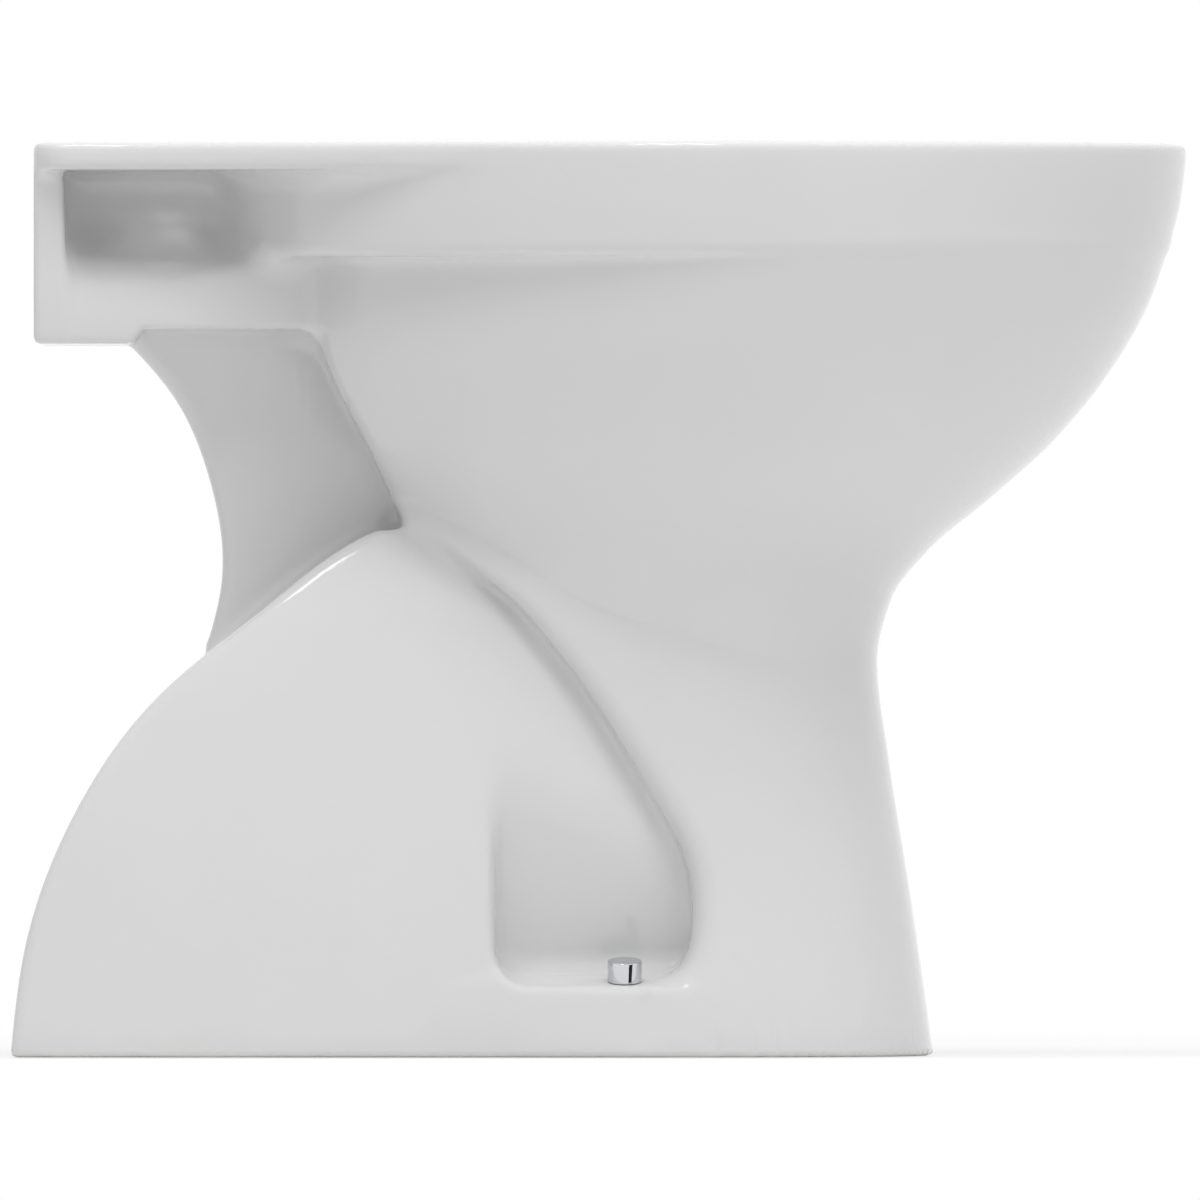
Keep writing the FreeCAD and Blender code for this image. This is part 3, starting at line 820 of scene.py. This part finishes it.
    def pocket(self, g: ClayGrid, grow: float = 0.0) -> Array:
        """Bolt pocket: floor that leans outward, back wall that leans out toward its top."""
        tilt = math.radians(self.ledge_tilt)
        y = np.abs(g.y)
        left = self.pocket_left - grow - g.x
        floor = (self.ledge_height - grow + (self.foot_half - y) * math.tan(tilt) - g.z) * math.cos(tilt)
        back = self.pocket_back - grow + self.pocket_lean * (g.z - self.ledge_height) - y
        back = back - self.pocket_turn * (g.x - self.pocket_left)
        back = back / math.hypot(1, self.pocket_lean, self.pocket_turn)
        return trimmed(trimmed(left, floor, 15), back, 9)

    def foot(self, g: ClayGrid) -> Array:
        """Rear dome and the strip in front of the bolt pockets."""
        side = g.side(curve_through(self.dome_back) + [(62, -40), (-260, -40)])
        dome = trimmed(side, g.egg(self.dome), 4)
        strip = g.egg(self.plinth) + ramp(g.z, *self.strip_lean)
        start, end = self.strip_ends
        strip = trimmed(strip, np.maximum(start - g.x, np.maximum(g.x - end, g.z - self.strip_top)), 1)
        return carved(np.minimum(dome, strip), self.pocket(g), ramp(g.z, *self.pocket_edge))

    def behind_ridge(self, g: ClayGrid) -> Array:
        """Space behind the ridge, where the front of the foot ends and the dome shows."""
        return g.side(curve_through(self.ridge) + [(18, 20), (-300, 20), (-300, 233)])

    def under_bowl(self, g: ClayGrid) -> Array:
        """Depth of the soft crease between the bowl and the front of the foot."""
        line = curve_through(self.crease)
        level = np.interp(g.x[:, 0, 0], *zip(*line))[:, None, None]
        wide = np.where(g.z > level, self.crease_above, self.crease_below)
        apart = np.sqrt(g.beside(line) ** 2 + self.crease_blunt)
        return self.crease_depth * ramp(g.x, *self.crease_fade) * np.exp(-apart / wide)

    def groove(self, g: ClayGrid) -> Array:
        """Depth of the narrow groove along the ridge, where the front of the foot meets the dome."""
        apart = g.beside(curve_through(self.ridge)) / self.groove_width
        return ramp(g.z, *self.groove_depth) * np.exp(-(apart**2))

    def outside(self, g: ClayGrid) -> Array:
        """Whole outer form."""
        body = g.egg(self.bowl) + self.under_bowl(g)
        body = body + ramp(g.z, *self.undercut) * ramp(g.x, *self.undercut_fade)
        around = [(-400, 222), (-400, -60), (420, -60), (420, 440)]
        ahead = g.side([(self.bowl_rear[0][0], 440), *curve_through(self.bowl_rear), *around])
        body = trimmed(body, ahead, 5)
        body = carved(body, self.behind_ridge(g), ramp(g.z, *self.ridge_edge))
        band = trimmed(g.egg(self.rim), self.rim[0].z - g.z, 5)
        form = joined(body, band, ramp(g.x, *self.band_fillet))
        form = joined(form, self.shelf(g), ramp(g.x, *self.flank_fillet))
        form = joined(form, self.neck(g), 2)
        form = joined(form, self.foot(g), ramp(g.z, *self.foot_fillet))
        form = form + self.groove(g)
        form = trimmed(form, g.z - self.height, self.rim_edge)
        return trimmed(form, -g.z, 1.6)

    def trap_line(self) -> list[Pair]:
        """Centre line of the trap, with round bends, on down through the floor."""
        pts = [np.array(p) for p in self.trap]
        line = [tuple(pts[0])]
        for before, corner, after, radius in zip(pts, pts[1:], pts[2:], self.trap_bends):
            u = (before - corner) / np.linalg.norm(before - corner)
            v = (after - corner) / np.linalg.norm(after - corner)
            half = math.acos(float(np.dot(u, v))) / 2
            centre = corner + (u + v) / np.linalg.norm(u + v) * radius / math.sin(half)
            first, last = (corner + d * radius / math.tan(half) - centre for d in (u, v))
            turn = math.atan2(first[0] * last[1] - first[1] * last[0], float(np.dot(first, last)))
            for t in np.linspace(0, 1, 15):
                c, s = math.cos(turn * t), math.sin(turn * t)
                x = centre[0] + first[0] * c - first[1] * s
                z = centre[1] + first[0] * s + first[1] * c
                line.append((x, z))
        return line + [tuple(pts[-1])]

    def tube(self, g: ClayGrid, radius: float, low: float) -> Array:
        """Distance to a round tube along the trap that runs down to a height."""
        apart = g.beside(self.trap_line()[:-1] + [(self.trap[-1][0], -80)])
        round_tube = np.sqrt(apart**2 + g.y**2) - radius
        return np.maximum(np.maximum(round_tube, g.x - self.trap[0][0]), low - g.z)

    def basin(self, g: ClayGrid) -> Array:
        """Inside of the bowl, with the flush ledge under the rim."""
        upper = trimmed(g.egg(self.rim_hollow), self.rim_hollow[0].z - g.z, 4)
        lower = trimmed(g.egg(self.bowl_hollow), self.bowl_hollow[0].z - g.z, 6)
        lower = np.maximum(lower, g.z - self.bowl_hollow[-1].z)
        return joined(upper, lower, 3)

    def foot_hollow(self, g: ClayGrid) -> Array:
        """Space inside the foot, round the trap, the bowl and the fixing bosses."""
        wall, inner_edge = self.wall, 6
        low = tuple(s for s in self.bowl if s.z < 180)
        ends = np.maximum(self.hollow_rear - g.x, g.z - self.hollow_top)
        front = trimmed(g.egg(low, -wall), ends, inner_edge)
        front = carved(front, self.behind_ridge(g) - 1.3 * wall, inner_edge)
        # The back of the dome, drawn in toward its middle by one wall.
        middle, length, top = -90, 168, 233
        sx, sz = 1 - wall / length, 1 - wall / top
        back = [(middle + (x - middle) * sx, z * sz) for x, z in curve_through(self.dome_back)]
        side = g.side(back + [(back[-1][0], -40), (back[0][0], -40)])
        form = np.minimum(front, trimmed(side, g.egg(self.dome, -wall), inner_edge))
        shell = tuple(replace(s, z=s.z - wall) for s in self.bowl_hollow)
        x, z = self.trap[-1]
        stub = np.sqrt((g.x - x) ** 2 + g.y**2) - self.spigot
        apart, along = self.fixing(g)
        keep = (
            self.tube(g, self.trap_tube, z),
            np.maximum(g.egg(shell, 0.8 * wall), shell[0].z - g.z),
            np.maximum(stub, np.maximum(z - g.z, g.z - self.spigot_top)),
            self.pocket(g, wall),
            np.maximum(apart - self.boss_radius, self.boss_low - along),
        )
        for solid in keep:
            form = carved(form, solid, 3)
        return form

    def fix_place(self) -> Pair:
        """Tilt of the ledge, and height of a screw hole's mouth on it."""
        tilt = math.radians(self.ledge_tilt)
        return tilt, self.ledge_height + (self.foot_half - self.fix_y) * math.tan(tilt)

    def fixing(self, g: ClayGrid) -> tuple[Array, Array]:
        """Distance from the axis of a screw hole, and height along it above the ledge."""
        tilt, z = self.fix_place()
        dy, dz = np.abs(g.y) - self.fix_y, g.z - z
        across = dy * math.cos(tilt) - dz * math.sin(tilt)
        along = dy * math.sin(tilt) + dz * math.cos(tilt)
        return np.sqrt((g.x - self.fix_x) ** 2 + across**2), along

    def build(self) -> Object:
        """Models the china and makes it a piece."""
        step = self.step * 1
        low = (self.rear - self.margin, 0, -self.margin)
        high = (self.front + self.margin, self.half_width + self.margin, self.height + self.margin)
        g = ClayGrid(low, high, step)
        hollow = self.foot_hollow(g)
        form = carved(self.outside(g), self.basin(g), self.rim_inside_edge)
        form = np.maximum(form, -hollow)
        form = carved(form, self.tube(g, self.trap_bore, -40), 2)
        chamber = g.block((-216, -44, 326), (-128, 44, 379), 6)
        throat = g.block((-130, -42, 347), (-80, 42, 377), 1)
        mouth = g.block((-112, -47, 345), (-70, 47, 381), 0.8)
        form = carved(form, np.minimum(joined(chamber, throat, 1), mouth), 1)
        ring = np.sqrt(g.y**2 + (g.z - self.inlet_z) ** 2) - self.inlet_radius
        form = carved(form, np.maximum(ring, g.x - self.deck_rear - self.inlet_depth), 2)
        seat = np.sqrt((g.x - self.seat_x) ** 2 + (np.abs(g.y) - self.seat_half) ** 2) - self.seat_hole
        form = carved(form, np.maximum(seat, self.seat_bottom - g.z), 1.6)
        apart, along = self.fixing(g)
        screw = np.maximum(apart - self.fix_hole, np.abs(along - self.fix_middle) - self.fix_reach)
        form = carved(form, screw, 0.6)
        bare = np.minimum(np.abs(hollow), np.abs(g.z))
        return fire(g, form, "china_pan", self.triangles, {"bare": bare})

    def dress(self, piece: Object) -> None:
        """Glazes the china and sets it on its body."""
        piece.data.materials.append(PartGlazed(GLAZE, BISQUE, "bare").material())
        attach(piece, "pan")
        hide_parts(*self.nodes)


@dataclass
class FlushInsert:
    """Plastic insert that turns the flush to both sides along the ledge."""

    step: float = 0.7
    triangles: int = 36000
    body_rear: float = -126.0
    flange_rear: float = -110.2
    flange_front: float = -97.0
    face_depth: float = 7.0
    bend: float = 160.0

    def build(self) -> Object:
        """Models the insert with its curved face and its three windows."""
        g = ClayGrid((-129, 0, 342), (-93, 50, 384), self.step * (1))
        body = g.block((self.body_rear, -41.5, 347.5), (self.flange_rear + 2, 41.5, 376.5), 1.2)
        face = g.block((self.flange_rear, -46.5, 345.5), (self.flange_front, 46.5, 380.5), 1.2)
        hollow = np.sqrt((g.x - self.flange_rear - self.face_depth - self.bend) ** 2 + g.y**2) - self.bend
        form = np.minimum(body, carved(face, hollow, 0.8))
        middle = g.block((-140, -9, 351), (-80, 9, 360), 2)
        outer = g.block((-140, 15, 351), (-80, 38, 373), 3)
        for window in (middle, outer):
            form = carved(form, window, 0.9)
        return fire(g, form, "flush_insert", self.triangles, {})

    def dress(self, piece: Object) -> None:
        """Gives the insert its plastic and its place on the pan."""
        piece.data.materials.append(ABS.material())
        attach(piece, "pan")
        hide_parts("flush_distributor")


def rounded(corners: list[Triple]) -> list[Pair]:
    """A closed profile with rounded corners.

    Args:
        corners: radius, height and rounding of each corner in order.

    Returns:
        Points of the profile.
    """
    points: list[Pair] = []
    for i, (r, z, edge) in enumerate(corners):
        here = np.array((r, z))
        if edge <= 0:
            points.append((r, z))
            continue
        before = np.array(corners[i - 1][:2]) - here
        after = np.array(corners[(i + 1) % len(corners)][:2]) - here
        before, after = before / np.linalg.norm(before), after / np.linalg.norm(after)
        reach = edge / math.tan(math.acos(float(np.clip(np.dot(before, after), -1, 1))) / 2)
        for t in np.linspace(0, 1, 6):
            a, b = here + before * reach, here + after * reach
            points.append(tuple((1 - t) ** 2 * a + 2 * t * (1 - t) * here + t * t * b))
    return points


@dataclass
class TurnedPiece:
    """A piece of revolution, swept round its axis by a node tree."""

    name: str
    node: str
    body: str
    slot: str
    finish: Finish
    corners: list[Triple]
    origin: Triple
    turn: Triple
    segments: int = 96

    def tree(self, material: Material) -> NodeTree:
        """Node tree that sweeps a profile in X and Z round Z and then sets it in place.

        Args:
            material: finish of the piece.

        Returns:
            The tree, with inputs for the profile, the segments, the place and the turn.
        """
        group = bpy.data.node_groups.new(self.name + "_sweep", "GeometryNodeTree")
        sockets = {"Profile": "Geometry", "Segments": "Int", "Place": "Vector", "Turn": "Vector"}
        for label, kind in sockets.items():
            group.interface.new_socket(label, in_out="INPUT", socket_type="NodeSocket" + kind)
        group.interface.new_socket("Swept", in_out="OUTPUT", socket_type="NodeSocketGeometry")
        given = add(group, "NodeGroupInput").outputs
        profile, segments = given["Profile"], given["Segments"]
        size = add(group, "GeometryNodeAttributeDomainSize", {0: profile}).outputs["Point Count"]
        rows = maths(group, "ADD", size, 1, WHOLE)
        ring = maths(group, "ADD", segments, 1, WHOLE)
        sheet = add(group, "GeometryNodeMeshGrid", {"Vertices X": rows, "Vertices Y": ring})
        number = add(group, "GeometryNodeInputIndex").outputs[0]
        row = maths(group, "MODULO", maths(group, "DIVIDE_FLOOR", number, ring, WHOLE), size, WHOLE)
        around = maths(group, "MODULO", number, ring, WHOLE)
        place = add(group, "GeometryNodeInputPosition").outputs[0]
        sample = {"Geometry": profile, "Value": place, "Index": row}
        point = add(group, "GeometryNodeSampleIndex", sample, data_type="FLOAT_VECTOR", domain="POINT")
        angle = maths(group, "MULTIPLY", maths(group, "DIVIDE", around, segments), math.tau)
        spin = {"Vector": point.outputs[0], "Axis": (0.0, 0.0, 1.0), "Angle": angle}
        spun = add(group, "ShaderNodeVectorRotate", spin, rotation_type="AXIS_ANGLE").outputs[0]
        shape = sheet.outputs["Mesh"]
        for kind, inputs in (
            ("SetPosition", {"Position": spun}),
            ("MergeByDistance", {"Distance": 1e-6}),
            ("Transform", {"Translation": given["Place"], "Rotation": given["Turn"]}),
            ("RealizeInstances", {}),
            ("SetMaterial", {"Material": material}),
        ):
            shape = add(group, "GeometryNode" + kind, {"Geometry": shape, **inputs}).outputs[0]
        add(group, "NodeGroupOutput", {0: shape})
        return group

    def build(self) -> Object:
        """Sweeps the profile and makes the piece a plain closed mesh."""
        profile = [(r * MM, 0.0, z * MM) for r, z in rounded(self.corners)]
        mesh = bpy.data.meshes.new(self.name)
        mesh.from_pydata(profile, [(i, i + 1) for i in range(len(profile) - 1)], [])
        piece = placed(self.name, mesh)
        tree = self.tree(self.finish.material())
        sweep = piece.modifiers.new("sweep", "NODES")
        sweep.node_group = tree
        sizes = {"Segments": self.segments, "Place": [v * MM for v in self.origin], "Turn": self.turn}
        for item in tree.interface.items_tree:
            if item.name in sizes:
                sweep[item.identifier] = sizes[item.name]
        made = settled(piece)
        bm = bmesh.new()
        bm.from_mesh(made)
        bmesh.ops.dissolve_degenerate(bm, dist=1e-7, edges=bm.edges)
        bmesh.ops.recalc_face_normals(bm, faces=bm.faces)
        bm.to_mesh(made)
        bm.free()
        made.shade_smooth()
        made.set_sharp_from_angle(angle=math.radians(32))
        return piece

    def dress(self, piece: Object) -> None:
        """Sets the piece on its body in the place of its solid."""
        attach(piece, self.body)
        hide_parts(self.node)


@dataclass
class FloorFixing:
    """Bush, washer and chrome cap of one floor screw."""

    side: Side
    pan: Pan
    cap_radius: float = 7.55
    cap_height: float = 9.5
    cap_wall: float = 1.05
    cap_top: float = 1.2
    cap_gap: float = 0.2
    cap_bevel: float = 0.55
    bush_length: float = 24.0
    bush_bore: float = 3.2
    bush_sleeve: float = 4.7
    flange: float = 1.6
    collar_height: float = 5.4
    collar_wall: float = 0.9
    washer_bore: float = 3.8
    washer_radius: float = 5.2
    washer_top: float = 2.6

    def pieces(self) -> list[TurnedPiece]:
        """The three turned pieces, standing on the ledge along the screw hole."""
        tilt, z = self.pan.fix_place()
        sign = self.side.value
        name = self.side.name.lower()
        stand = {"origin": (self.pan.fix_x, sign * self.pan.fix_y, z), "turn": (-sign * tilt, 0.0, 0.0)}
        r, h, gap = self.cap_radius, self.cap_height, self.cap_gap
        inner, under, bevel = r - self.cap_wall, h - self.cap_top, self.cap_bevel
        cap = [(inner, gap, 0.2), (r, gap, 0.3), (r, h, 0.9), (0.0, h, 0.0), (0.0, under, 0.0)]
        cap += [(inner - bevel, under, 0.0), (inner, under - bevel, 0.0)]
        bore, sleeve, collar, low = self.bush_bore, self.bush_sleeve, inner - gap, -self.bush_length
        step, top = self.flange, self.collar_height
        inside = collar - self.collar_wall
        bush = [(bore, low, 0.3), (sleeve - 0.5, low, 0.2), (sleeve, low + 1.5, 0.0), (sleeve, 0.0, 0.0)]
        bush += [(collar, 0.0, 0.2), (collar, top, 0.4), (inside, top, 0.2), (inside, step, 0.3)]
        bush += [(bore, step, 0.2)]
        hole, edge, face = self.washer_bore, self.washer_radius, self.washer_top
        washer = [(hole, step, 0.15), (edge, step, 0.15), (edge, face, 0.3), (hole, face, 0.3)]
        rows = (
            ("_nylon_bush", "_screw_bush", "pan", "bush", NYLON, bush),
            ("_steel_washer", "_screw_washer", "pan", "washer", STEEL, washer),
            ("_chrome_cap", "_screw_cap", name + "_cap", "cap", CHROME, cap),
        )
        return [TurnedPiece(name + piece, name + node, *rest, **stand) for piece, node, *rest in rows]


@dataclass
class FlushInlet:
    """Rubber sleeve in the inlet at the back of the shelf."""

    pan: Pan
    pipe: float = 22.0
    body: float = 26.2
    length: float = 31.0
    lip: float = 3.0
    lip_reach: float = 2.0
    ribs: int = 3
    rib: float = 0.9
    rib_start: float = 5.0
    rib_spacing: float = 9.0
    inset: float = 0.5

    def pieces(self) -> list[TurnedPiece]:
        """The ribbed sleeve, lying along X."""
        body, length, pipe = self.body, self.length, self.pipe
        crest, mouth, lip = body + self.rib, pipe - self.lip_reach, length - self.lip
        shape = [(pipe + 1.5, 0.0, 0.8), (body, 0.0, 0.8)]
        for i in range(self.ribs):
            z = self.rib_start + self.rib_spacing * i
            shape += [(body, z, 0.3), (crest, z + 1.5, 0.4), (crest, z + 2.5, 0.4), (body, z + 4.0, 0.3)]
        shape += [(body, length, 0.6), (mouth, length, 0.5), (mouth, lip, 0.5)]
        shape += [(pipe, lip, 0.4), (pipe, 3.0, 0.6)]
        origin = (self.pan.deck_rear + self.inset, 0.0, self.pan.inlet_z)
        along_x = (0.0, math.pi / 2, 0.0)
        names = ("rubber_inlet_sleeve", "inlet_seal", "pan", "seal")
        return [TurnedPiece(*names, RUBBER, shape, origin, along_x, segments=128)]


def dress_gasket() -> Object:
    """Gives the rubber frame behind the insert, which keeps its solid, its finish."""
    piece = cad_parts["distributor_gasket"]
    piece.data.materials.clear()
    piece.data.materials.append(RUBBER.material())
    return piece


@dataclass
class Studio:
    """White room: floor that keeps the shadow, soft lamps and the side-on camera."""

    frame_mm: float = 527.5
    centre_z: float = 199.9
    distance: float = 20.0
    sensor: float = 36.0
    world_light: float = 0.385
    # Place, size and power of each lamp.
    lamps: tuple[tuple[Triple, float, float], ...] = (
        ((0.0, -1.0, 3.0), 2.4, 64.0),
        ((1.8, -1.0, 3.0), 2.4, 21.0),
        ((-0.5, -1.1, 3.0), 0.5, 6.5),
    )
    lamp_aim: Triple = (0.0, 0.0, 0.2)
    mirrored_size: float = 1.0
    floor_half: float = 80.0
    floor_z: float = -0.0005
    shadow_reach: Pair = (0.3, 1.2)
    shadow_white: float = 0.75
    card_ends: tuple[Pair, Pair] = ((17.9, -122.1), (23.1, -118.6))
    card_z: Pair = (25.0, 42.0)

    def floor(self) -> None:
        """Pale floor that shows white and keeps the object's shadow."""
        made = bpy.data.materials.new("white_studio_floor")
        tree = empty_tree(made)
        place = add(tree, "ShaderNodeTexCoord").outputs["Object"]
        away = add(tree, "ShaderNodeVectorMath", {0: place}, operation="LENGTH").outputs["Value"]
        near, far = self.shadow_reach
        fade = {"From Min": near, "From Max": far, "To Min": self.shadow_white, "To Max": 1.0}
        plain = add(tree, "ShaderNodeMapRange", {"Value": away, **fade}).outputs[0]
        share = maths(tree, "MULTIPLY", looked_at(tree), plain)
        matt = add(tree, "ShaderNodeBsdfDiffuse", {"Color": colour("F4F4F4")})
        white = add(tree, "ShaderNodeEmission", {"Color": WHITE, "Strength": 1.0})
        both = add(tree, "ShaderNodeMixShader", {0: share, 1: matt.outputs[0], 2: white.outputs[0]})
        add(tree, "ShaderNodeOutputMaterial", {"Surface": both.outputs[0]})
        r, z = self.floor_half, self.floor_z
        sheet("floor", [(-r, -r, z), (r, -r, z), (r, r, z), (-r, r, z)], made)

    def sky(self) -> None:
        """Even white surroundings: plain light on the object, pure white where seen."""
        world = bpy.data.worlds.new("white_room")
        bpy.context.scene.world = world
        tree = empty_tree(world)
        steps = {"Value": looked_at(tree), "To Min": self.world_light, "To Max": 1.0}
        level = add(tree, "ShaderNodeMapRange", steps).outputs[0]
        glow = add(tree, "ShaderNodeBackground", {"Color": WHITE, "Strength": level})
        add(tree, "ShaderNodeOutputWorld", {"Surface": glow.outputs[0]})

    def light(self) -> None:
        """Large soft lamps over the object, and a small one for the glints on the glaze's edges."""
        for i, (place, size, power) in enumerate(self.lamps):
            lamp = bpy.data.lights.new(f"softbox_{i}", "AREA")
            lamp.size = size
            lamp.energy = power
            thing = placed(f"softbox_{i}", lamp)
            thing.location = place
            thing.visible_glossy = size < self.mirrored_size
            aim = Vector(self.lamp_aim) - thing.location
            thing.rotation_euler = aim.to_track_quat("-Z", "Y").to_euler()

    def flag(self) -> None:
        """Small black card in front of the right cap, which only the polished cap picks up."""
        rows = zip(self.card_z, (self.card_ends, self.card_ends[::-1]))
        corners = [(x * MM, y * MM, z * MM) for z, row in rows for x, y in row]
        piece = sheet("black_card", corners, RUBBER.material())
        for ray in ("camera", "diffuse", "transmission", "volume_scatter", "shadow"):
            setattr(piece, "visible_" + ray, False)

    def camera(self) -> None:
        """Camera level with the middle of the pan, far off, square to its right side."""
        lens = bpy.data.cameras.new("side_camera")
        lens.sensor_width = self.sensor
        lens.lens = self.sensor * self.distance / (self.frame_mm * MM)
        lens.clip_end = 10 * self.distance
        thing = placed("side_camera", lens)
        thing.location = (0.0, -self.distance, self.centre_z * MM)
        thing.rotation_euler = (math.pi / 2, 0.0, 0.0)
        bpy.context.scene.camera = thing

    def build(self) -> None:
        """Sets up the room."""
        bpy.context.scene.view_settings.view_transform = "Standard"
        self.floor()
        self.sky()
        self.light()
        self.flag()
        self.camera()


def main() -> None:
    """Builds every sub-assembly in order and notes the number of faces of each piece."""
    logging.basicConfig(level=logging.INFO, format="%(name)s: %(message)s")
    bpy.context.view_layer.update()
    Studio().build()
    pan = Pan()
    parts = [pan, FlushInsert(), *FlushInlet(pan).pieces()]
    for side in Side:
        parts += FloorFixing(side, pan).pieces()
    for part in parts:
        piece = part.build()
        part.dress(piece)
        log.info("%s: %d faces", piece.name, len(piece.data.polygons))
    log.info("%s: finish only", dress_gasket().name)


if __name__ == "__main__":
    main()
